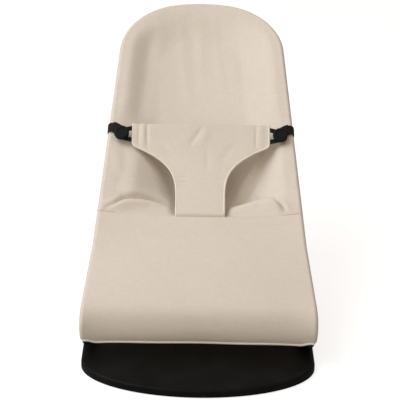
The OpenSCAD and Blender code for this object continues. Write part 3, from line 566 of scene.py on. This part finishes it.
def cover_surface():
    """Sling from the knee seam to the head, wrapped round the rods, as rows across."""
    step = 4.0
    side = np.array([[float(half(s)), s] for s in np.arange(KNEE_S, HEAD_S, step)])
    a0, a1 = TAPER_HIGH, math.pi / 2 - CROWN
    corner = np.array([[CORNER_X + HEAD_R * math.cos(a), HEAD_S + HEAD_R * math.sin(a)]
                       for a in np.linspace(a0, a1, 40)])
    crown = np.array([[CROWN_R * math.cos(a), CROWN_S + CROWN_R * math.sin(a)]
                      for a in np.linspace(a1, math.pi / 2, 14)[1:]])
    rim = np.concatenate([side, corner, crown])
    tangent = np.gradient(rim, axis=0)
    tangent /= np.linalg.norm(tangent, axis=1)[:, None]
    tangent[-1] = (-1, 0)
    outward = np.stack([tangent[:, 1], -tangent[:, 0]], 1)
    outward[-1] = (0, 1)
    start, squeeze = 430.0, 0.42
    spine_s = np.where(rim[:, 1] < start, rim[:, 1], start + (rim[:, 1] - start) * squeeze
                       + 0.0009 * (rim[:, 1] - start) ** 2)
    spine = np.stack([np.zeros(len(rim)), spine_s], 1)

    depth = sling_depth(spine_s)
    even = np.minimum(KNEE_SAG, depth)
    reach = np.linalg.norm(rim - spine, axis=1)
    hollow = reach - 7 - (reach - 7 - SHOULDER) * ease((spine_s - HIP_S) / (BACK_S - HIP_S))
    lean = np.arctan(even * 3 / np.maximum(reach, 30))
    inner = 56
    w = np.linspace(0, 1, inner + 1)
    w = 1 - (1 - w) ** 1.35
    rows = []
    for i in range(len(rim)):
        edge = rim[i] - outward[i] * WRAP * math.sin(lean[i])
        top = ROD_N + WRAP * math.cos(lean[i])
        flat = spine[i] + (edge - spine[i]) * w[:, None]
        share = ease(((1 - w) * reach[i] - 7) / hollow[i])
        n = top - even[i] * (1 - w ** 3) - (depth[i] - even[i]) * share
        section = np.concatenate([flat, n[:, None]], 1)
        arc = np.linspace(lean[i], -WRAP_ANGLE, 15)[1:]
        wrap = np.stack([rim[i, 0] - outward[i, 0] * WRAP * np.sin(arc),
                         rim[i, 1] - outward[i, 1] * WRAP * np.sin(arc),
                         ROD_N + WRAP * np.cos(arc)], 1)
        last = wrap[-1]
        inward = np.array([-outward[i, 0] * 0.9, -outward[i, 1] * 0.9, -0.44])
        flap = np.array([last + inward * d for d in COVER_FLAP])
        rows.append(np.concatenate([section, wrap, flap]))
    rows = np.array(rows)
    fade = np.ones(rows.shape[:2])
    fade[:, inner + 6:] = 0
    fade[:, inner - 1:inner + 6] = np.linspace(1, 0.2, 7)
    left = rows.copy()
    left[..., 0] *= -1
    for part in (rows, left):
        x, s = part[..., 0], part[..., 1]
        inside = 1 - np.clip(np.abs(x) / np.maximum(half(s), 1), 0, 1) ** 2.4
        part[..., 1] -= KNEE_BOW * (1 - ease((s - KNEE_S) / 40)) * inside
        part[..., 2] += cover_relief(part[..., 0], part[..., 1]) * fade * ease((s - KNEE_S + 1) / 12)
    return rows, left



def snap(surface, points, below=False):
    """Points of seat coordinates moved along the seat's normal on to a surface; world metres."""
    up = world([0, 0, 1]) - world([0, 0, 0])
    up = Vector(up / np.linalg.norm(up))
    out = []
    for x, s in points:
        start = Vector(world([x, s, -200 if below else 400]))
        hit = surface.ray_cast(start, up if below else -up)[0]
        out.append(list(hit) if hit else [float("nan")] * 3)
    out = np.array(out)
    return out[~np.isnan(out[:, 0])]


def tree_of(obj):
    return BVHTree.FromObject(obj, bpy.context.evaluated_depsgraph_get())


def line(points, step=4.0):
    """(x, s) points along a polyline, smoothed by Catmull-Rom."""
    p = np.asarray(points, float)
    p = np.concatenate([[2 * p[0] - p[1]], p, [2 * p[-1] - p[-2]]])
    out = []
    for i in range(1, len(p) - 2):
        count = max(2, int(np.linalg.norm(p[i + 1] - p[i]) / step))
        for t in np.arange(count) / count:
            out.append(0.5 * (2 * p[i] + (p[i + 1] - p[i - 1]) * t
                              + (2 * p[i - 1] - 5 * p[i] + 4 * p[i + 1] - p[i + 2]) * t * t
                              + (3 * p[i] - p[i - 1] - 3 * p[i + 1] + p[i + 2]) * t ** 3))
    out.append(p[-2])
    return np.array(out)


SEAT_UP = (0.0, -math.sin(SLOPE), math.cos(SLOPE))
BRACKET_S = 250.0

right, left = cover_surface()
full = np.concatenate([left[:, ::-1], right], 1)
# the sleeve's underside is open round the brackets of the support bar
sleeve = 11
opening = np.zeros((full.shape[0] - 1, full.shape[1] - 1), bool)
opening[:, :sleeve] = opening[:, -sleeve:] = True
opening &= (np.abs(full[:-1, :-1, 1] - BRACKET_S) < 23)
cover = weld(grid("cloth_cover", world(full), skip=opening))
thicken(cover, 1.5)
finish_piece(cover, CLOTH, "seat")
cover_tree = tree_of(cover)


# -- rear pocket over the head, with its hem --

POCKET_S = HEAD_S - HEAD_R / 4
rows = []
for s in CROWN_TOP - 3 - (CROWN_TOP - 3 - POCKET_S) * (1 - np.sin(np.linspace(0, math.pi / 2, 34))):
    xs = float(half(s)) * np.sin(np.linspace(-math.pi / 2, math.pi / 2, 61))
    under = snap(cover_tree, [(x, s) for x in xs * 0.93], below=True)
    if len(under) < len(xs):
        continue
    n = (under / MM - world([0, 0, 0]) / MM) @ np.array(SEAT_UP)
    edge = 1 - np.abs(np.linspace(-1, 1, 61)) ** 6
    n = np.minimum(n - 2.6, ROD_N - WRAP - 1.2) * edge + (ROD_N - WRAP - 1.0) * (1 - edge)
    rows.append(np.stack([xs, np.full(61, s), n], 1))
rows = np.array(rows)
for _ in range(3):
    rows[:, 1:-1, 2] = (rows[:, :-2, 2] + 2 * rows[:, 1:-1, 2] + rows[:, 2:, 2]) / 4
pocket = thicken(grid("cloth_head_pocket", world(rows)), 1.3)
finish_piece(pocket, UNDER, "seat")
hem_line = world(rows[0] + [0, 0.5, 0])
pocket_hem = sweep("pocket_hem", resample(hem_line, 0.004), SEAT_UP, oval(3.2, 3.2))
finish_piece(pocket_hem, BINDING_WITH_PAINTED_LIGHT, "seat")
pocket_stitch = stitches("pocket_stitches", world(rows[2] - [0, 0, 1.0]), [-c for c in SEAT_UP])
finish_piece(pocket_stitch, THREAD, "seat")


# -- leg panel, round the toe bends to its hem --

def leg_rows():
    """Rod centre (x, s, n) and outward direction (s, n) at each row, hem first."""
    centre = np.array([TOE_HALF, TOE_S, ROD_N]) - TOE_R * UP
    rows = []
    for a in np.linspace(HEM, 0, 34):
        out = math.cos(a) * UP - math.sin(a) * LOW
        rows.append((centre + TOE_R * out, out[1:] / np.linalg.norm(out[1:])))
    for s in np.linspace(TOE_S + 4, KNEE_S + 2, 44):
        tilt = TOE_LEAN * (1 - ease((s - TOE_S) / 40))
        rows.append((np.array([float(half(s)), s, ROD_N]), np.array([math.sin(tilt), math.cos(tilt)])))
    return rows


def bend_distance(i, s):
    """Distance along the rod from the middle of the toe bend."""
    if i < 34:
        return (TOE_R + WRAP) * (HEM - i * HEM / 33 - math.radians(50))
    return (TOE_R + WRAP) * math.radians(50) + s - TOE_S


def leg_relief(x, s, hem):
    r = 0.9 * np.sin(s / 8.5 + x / 120) * bump(s - 120, 24) * bump(x, 90)
    r += 0.6 * np.sin(s / 6.5 - x / 90 + 1) * bump(s - 100, 20) * bump(x + 60, 60)
    for side in (-1, 1):
        r += crease(x, s, [(side * 165, 172), (side * 140, 158), (side * 108, 150)], 6, -1.0)
    r -= 1.0 * hem * (0.5 + 0.5 * np.cos(x / 26)) * bump(x, 150)
    return r


inner = 48
w = np.linspace(0, 1, inner + 1)
w = 1 - (1 - w) ** 1.25
quarter = []
for i, (rod, out) in enumerate(leg_rows()):
    hem = max(0.0, 1 - i / 12)
    sag = KNEE_SAG * ease((rod[1] - TOE_S - 30) / (KNEE_S - TOE_S - 30)) if i >= 34 else 0.0
    lean = math.atan(3 * sag / rod[0])
    x = (rod[0] - WRAP * math.sin(lean)) * w
    off = WRAP * math.cos(lean) - sag * (1 - w ** 3)
    off = off + leg_relief(x, rod[1], hem) * (1 - w ** 4)
    # stretched across the bend, the cloth between the rods cuts the corner
    off = off - 8 * bump(bend_distance(i, rod[1]), 38) * (1 - w ** 8)
    arc = np.linspace(lean, -WRAP_ANGLE, 15)[1:]
    x = np.concatenate([x, rod[0] - WRAP * np.sin(arc)])
    off = np.concatenate([off, WRAP * np.cos(arc)])
    last_x, last = x[-1], off[-1]
    steps = np.array(LEG_FLAP)
    x = np.concatenate([x, last_x - 0.95 * steps])
    off = np.concatenate([off, last - 0.2 * steps])
    quarter.append(np.stack([x, rod[1] + off * out[0], rod[2] + off * out[1]], 1))
quarter = np.array(quarter)
# the hem rises a little beside each rod, whose end shows below it
lift = 3.4 * np.concatenate([ease((w - 0.88) / 0.12), np.ones(quarter.shape[1] - len(w))])
level = np.arange(len(quarter), dtype=float)
for j, up in enumerate(lift):
    new_level = level + up * np.clip(1 - level / 14, 0, 1)
    quarter[:, j] = np.stack([np.interp(new_level, level, quarter[:, j, k]) for k in range(3)], 1)
x, s = quarter[..., 0], quarter[..., 1]
quarter[34:, :, 1] -= (KNEE_BOW * ease((s - 60) / (KNEE_S - 60))
                       * (1 - np.clip(x / TOE_HALF, 0, 1) ** 2.4))[34:]
mirror = quarter[:, ::-1].copy()
mirror[..., 0] *= -1
leg_points = np.concatenate([mirror[:, :-1], quarter], 1)
leg = thicken(grid("cloth_leg_panel", world(leg_points)), 1.5)
finish_piece(leg, CLOTH, "seat")
hem_row = world(leg_points[0, 16:-16])
hem_out = np.gradient(world(leg_points[:, 16:-16]), axis=0)[0]
hem_up = np.cross(np.gradient(hem_row, axis=0), hem_out)
hem_up /= np.linalg.norm(hem_up, axis=1)[:, None]
hem_up *= -1 if hem_up[len(hem_up) // 2, 1] > 0 else 1
# the hem's binding takes the brightened binding colour: painted light on a hem that faces down into shade
leg_hem = sweep("leg_hem", hem_row + hem_up * 1.3 * MM, hem_up, oval(3.8, 3.6))
finish_piece(leg_hem, BINDING_WITH_PAINTED_LIGHT, "seat")
stitch_row = leg_points[5, 14:-14]
across = np.gradient(world(leg_points[:, 14:-14]), axis=0)[5]
face = np.cross(np.gradient(world(stitch_row), axis=0), across)
face = face.mean(0) / np.linalg.norm(face.mean(0))
if face[1] > 0:
    face = -face
leg_stitch = stitches("leg_hem_stitches", world(stitch_row) + face * 0.75 * MM, face)
finish_piece(leg_stitch, THREAD, "seat")


# -- restraint: crotch strap and waist band in one --

BUTTON_X = float(half(BUTTON_S)) - BUTTON_INSET
WAIST = BUTTON_X - 20.0
WAIST_S = KNEE_S + STRAP_LEN - BAND_H
COVER_TOP = ROD_R + 0.3 + 2.5
WEB_W, WEB_T = 20.0, 1.6
LOOP_W = 8.4
WEB_TURN = math.radians(44)
WEB_LIFT = COVER_TOP + 0.3 + WEB_W / 2 * math.tan(BUTTON_TILT)
LOOP_Z = WEB_T + 0.8 + 0.3
SEAM = COVER_TOP + 2 + 0.8 - 9.0


def panel_half(s):
    u = np.clip((np.asarray(s, float) - KNEE_S - 20) / (WAIST_S - KNEE_S - 20), 0, 1)
    return CROTCH + (WAIST - CROTCH) * u ** 4


def panel_n(x, s):
    x, s = np.asarray(x, float), np.asarray(s, float)
    u = (s - KNEE_S) / STRAP_LEN
    mid = SEAM * (1 - u) + 18 * u - 44 * u * (1 - u)
    near = np.maximum(s, WAIST_S)
    v = (near - KNEE_S) / STRAP_LEN
    mid_near = SEAM * (1 - v) + 18 * v - 44 * v * (1 - v)
    end = WEB_LIFT + (LOOP_Z + 1) / math.cos(BUTTON_TILT) + (near - BUTTON_S) * math.tan(BUTTON_TILT)
    rise = (end - mid_near) * (x / WAIST) ** 2 * ease((s - KNEE_S) / (WAIST_S - KNEE_S))
    r = crease(x, s, [(2, 374), (-4, 362), (-12, 350), (-20, 336)], 5, -1.5)
    r += crease(x, s, [(12, 366), (4, 350), (-6, 334)], 8, 1.2)
    r += crease(x, s, [(-68, 326), (-52, 317), (-34, 308)], 5, -1.3)
    r += crease(x, s, [(-62, 336), (-46, 328), (-28, 320)], 7, 1.0)
    r += crease(x, s, [(10, 336), (12, 312), (12, 286)], 5, -0.8)
    r += crease(x, s, [(66, 346), (48, 324), (36, 300)], 8, -1.0)
    r += crease(x, s, [(-96, 352), (-80, 340), (-66, 330)], 5, 1.0)
    for k, at in enumerate((252, 262, 271, 281)):
        r += crease(x, s, [(-44, at), (-34, at - 2), (-22, at - 1)], 2.6, (-1.2, -1.5, -1.2, -0.9)[k])
        r += crease(x, s, [(45, at - 4), (36, at - 6), (28, at - 5)], 2.6, (-0.8, -0.9, -0.7, -0.5)[k])
    # stitched folds at the ends of the band
    r += crease(x, s, [(-97, 384), (-97, 356), (-96, 328)], 2.2, -1.8)
    r += crease(x, s, [(-104, 384), (-104, 356), (-104, 328)], 3.4, 1.2)
    r += crease(x, s, [(-112, 384), (-112, 356), (-112, 330)], 2.2, -1.4)
    r += crease(x, s, [(99, 384), (99, 356), (99, 328)], 2.0, -1.4)
    r += crease(x, s, [(108, 384), (108, 356), (108, 330)], 5, 0.9)
    # the strap's foot tucks into the knee seam
    r -= 6.0 * (1 - ease((s - KNEE_S) / 7)) ** 2
    return ROD_N + mid + rise + r


cols = np.linspace(-1, 1, 121)
rows = []
for s in np.linspace(KNEE_S + 0.6, KNEE_S + STRAP_LEN, 110):
    x = float(panel_half(s)) * cols
    rows.append(np.stack([x, np.full(len(x), s) - KNEE_BOW * (1 - ease((s - KNEE_S) / 30)),
                          panel_n(x, s)], 1))
rows = np.array(rows)
panel = thicken(grid("cloth_restraint", world(rows)), 2.4)
finish_piece(panel, CLOTH, "restraint")
panel_tree = tree_of(panel)
for name, edge in (("left", rows[:, 0]), ("right", rows[:, -1])):
    ring = resample(world(edge), 0.003)
    for _ in range(4):
        ring[1:-1] = (ring[:-2] + 2 * ring[1:-1] + ring[2:]) / 4
    piping = sweep("restraint_binding_" + name, ring, SEAT_UP, oval(3.4, 3.6, 14, 0.8))
    finish_piece(piping, BINDING_WITH_PAINTED_LIGHT, "restraint")
for name, path in (
    ("band_top_stitches", [(x, KNEE_S + STRAP_LEN - 9) for x in np.linspace(-WAIST + 5, WAIST - 5, 80)]),
    ("band_end_stitches_left", [(-97, s) for s in np.linspace(WAIST_S + 4, KNEE_S + STRAP_LEN - 4, 20)]),
    ("band_end_stitches_right", [(99, s) for s in np.linspace(WAIST_S + 4, KNEE_S + STRAP_LEN - 4, 20)]),
    ("strap_stitches_left", [(-float(panel_half(s)) + 6, s) for s in np.linspace(KNEE_S + 8, WAIST_S, 60)]),
    ("strap_stitches_right", [(float(panel_half(s)) - 6, s) for s in np.linspace(KNEE_S + 8, WAIST_S, 60)]),
):
    row = stitches(name, snap(panel_tree, path), SEAT_UP)
    finish_piece(row, THREAD, "restraint")


# -- webbing and elastic loops --

def on_web(x, y, z):
    """A point of the webbing's tilted frame in seat coordinates."""
    c, s = math.cos(BUTTON_TILT), math.sin(BUTTON_TILT)
    return [x, BUTTON_S + y * c - z * s, ROD_N + WEB_LIFT + y * s + z * c]


def mirrored(points, side):
    points = np.array(points, float)
    points[..., 0] *= side
    return points


def ribbed(width, thick, count=20):
    """Flat section of a woven band with rounded edges."""
    return oval(width, thick, count, 0.35)


for side, name in ((-1, "left"), (1, "right")):
    rod_x = float(half(BUTTON_S))
    reach = WRAP + 0.75 + WEB_T / 2 + 0.3
    flat = [(x, 0.0, 1.0) for x in np.linspace(BUTTON_X - 8, rod_x - 3, 12)]
    top = on_web(rod_x, 0, WEB_T / 2)[2] - ROD_N
    for a in np.linspace(8, 212, 26):
        t = math.radians(a)
        blend = float(ease(a / 90))
        flat.append((rod_x + reach * math.sin(t), t, (top * (1 - blend) + reach * blend) * math.cos(t)))
    points, ups = [], []
    run = shift = 0.0
    for k, (x, t, n) in enumerate(flat):
        if k:
            step = math.hypot(x - flat[k - 1][0], (n - flat[k - 1][2]) if t and flat[k - 1][1] else 0)
            run += step if x > BUTTON_X - 4 else 0
            turn = WEB_TURN * math.cos(math.pi / 2 * min(1, run / 46)) ** 2 if run else 0
            shift += math.tan(turn) * step
        if t == 0:
            points.append(on_web(x, shift, WEB_T / 2))
            ups.append([0, -math.sin(BUTTON_TILT), math.cos(BUTTON_TILT)])
        else:
            s_at = BUTTON_S + shift
            points.append([float(half(s_at)) - rod_x + x, s_at, ROD_N + n])
            ups.append([math.sin(t), 0, math.cos(t)])
    points = mirrored(points, side)
    ups = mirrored(ups, side)
    up_world = world(ups) - world([0, 0, 0])
    path = world(points)
    for _ in range(2):
        path[1:-1] = (path[:-2] + 2 * path[1:-1] + path[2:]) / 4
    band = sweep("webbing_" + name, path, up_world, ribbed(WEB_W, WEB_T))
    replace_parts(finish_piece(band, WEBBING, "seat"), "button_strap_" + name)

    # elastic loop from the band's end round the button's post
    half_pitch, tip = 12.3, 7.25
    start = WAIST - 0.5
    bar = [(start, half_pitch), (WAIST, half_pitch), (WAIST + 6, half_pitch - 1.6),
           (BUTTON_X - 4, tip + 0.9)]
    arc = [(BUTTON_X + tip * math.sin(t), tip * math.cos(t)) for t in np.linspace(0, math.pi, 15)]
    plan = bar + arc + [(x, -y) for x, y in bar[::-1]]
    plan = line(plan, 1.5)
    pts = mirrored([on_web(x, y, LOOP_Z + 1) for x, y in plan], side)
    tilt_up = world([0, -math.sin(BUTTON_TILT), math.cos(BUTTON_TILT)]) - world([0, 0, 0])
    path = resample(world(pts), 0.0012)
    loop = sweep("elastic_loop_" + name, path, tilt_up, ribbed(LOOP_W, 2.0))
    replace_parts(finish_piece(loop, ELASTIC, "restraint"), "strap_loop_" + name)

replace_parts(cover, "seat_cover")
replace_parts(pocket, "head_pocket")
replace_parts(leg, "leg_panel")
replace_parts(panel, "restraint_panel")


# -- cut sizes of the sheets, from the pattern and not from the meshes --

def strip(lo, hi, width):
    """Flat area and widest width of a cut whose width is given along its length."""
    s = lo + (hi - lo) * (np.arange(400) + 0.5) / 400
    across = width(s)
    return float(across.mean()) * (hi - lo) * MM ** 2, float(across.max()) * MM


def girth(s):
    """Width across the sling from rod to rod, along its sag."""
    across = half(s)
    depth = sling_depth(s) * np.clip((CROWN_TOP - s) / HEAD_R, 0, 1)
    return 2 * np.sqrt(across ** 2 + 4 / 3 * depth ** 2)


TURN = WRAP * WRAP_ANGLE   # cloth round the rod
LEG_EDGE = TURN + LEG_FLAP[-1]

cut, wide = strip(KNEE_S, CROWN_TOP, girth)

cut, wide = strip(POCKET_S, CROWN_TOP, lambda s: 2 * half(s))

bend = (TOE_R + WRAP) * HEM
cut, wide = strip(TOE_S - bend, KNEE_S, lambda s: 2 * (half(np.maximum(s, TOE_S)) + LEG_EDGE))

cut, wide = strip(KNEE_S, KNEE_S + STRAP_LEN, lambda s: 2 * panel_half(s))


# -- floor, light and camera --

def look(obj, target, roll=0.0):
    way = Vector(target) - obj.location
    obj.rotation_euler = (way.to_track_quat("-Z", "Y") @ Quaternion((0, 0, 1), roll)).to_euler()


floor_mesh = bpy.data.meshes.new("floor")
floor_mesh.from_pydata([(-6, -6, 0), (6, -6, 0), (6, 6, 0), (-6, 6, 0)], [], [(0, 1, 2, 3)])
floor = bpy.data.objects.new("floor", floor_mesh)
bpy.context.scene.collection.objects.link(floor)
mat, nodes, links, bsdf = new_material("floor_paper")
bsdf.inputs["Base Color"].default_value = (0.5, 0.5, 0.5, 1)
bsdf.inputs["Roughness"].default_value = 0.9
rays = nodes.new("ShaderNodeLightPath")
glow = nodes.new("ShaderNodeEmission")
glow.inputs["Color"].default_value = (1, 1, 1, 1)
links.new(span(nodes, links, rays.outputs["Is Camera Ray"], 0.0, 0.75), glow.inputs["Strength"])
add = nodes.new("ShaderNodeAddShader")
links.new(bsdf.outputs[0], add.inputs[0])
links.new(glow.outputs[0], add.inputs[1])
links.new(add.outputs[0], nodes["Material Output"].inputs["Surface"])
floor_mesh.materials.append(mat)

world_data = bpy.data.worlds.new("studio")
bpy.context.scene.world = world_data
world_data.use_nodes = True
nodes, links = world_data.node_tree.nodes, world_data.node_tree.links
rays = nodes.new("ShaderNodeLightPath")
links.new(span(nodes, links, rays.outputs["Is Camera Ray"], 0.30, 1.0),
          nodes["Background"].inputs["Strength"])
links.new(blend_colours(nodes, links, rays.outputs["Is Camera Ray"], (1.0, 0.80, 0.60), (1, 1, 1)),
          nodes["Background"].inputs["Color"])


def area_light(name, place, target, size, power, colour=(1, 1, 1)):
    data = bpy.data.lights.new(name, "AREA")
    data.shape = "RECTANGLE"
    data.size, data.size_y = size
    data.energy = power
    data.color = colour
    obj = bpy.data.objects.new(name, data)
    bpy.context.scene.collection.objects.link(obj)
    obj.location = place
    look(obj, target)
    return obj


area_light("key", (-1.8, -0.3, 2.25), (0, 0, 0.2), (2.6, 2.6), 66, (0.965, 1.0, 1.05))
area_light("fill", (-0.7, -2.1, 1.7), (0, 0, 0.2), (2.0, 2.0), 15)
area_light("top", (0.5, -0.9, 2.6), (0, 0, 0.2), (1.6, 1.6), 7, (0.98, 1.0, 1.02))

camera_data = bpy.data.cameras.new("camera")
camera_data.sensor_width = 36
camera_data.lens = 131.3
camera_data.clip_end = 50
camera = bpy.data.objects.new("camera", camera_data)
bpy.context.scene.collection.objects.link(camera)
bpy.context.scene.camera = camera
aim = Vector((0, -0.0345, 0.190))
rise, turn, away = math.radians(24), math.radians(-0.4), 2.6
camera.location = aim + away * Vector((math.sin(turn) * math.cos(rise),
                                       -math.cos(turn) * math.cos(rise), math.sin(rise)))
look(camera, aim, math.radians(1.1))

view = bpy.context.scene.view_settings
view.view_transform = "Standard"
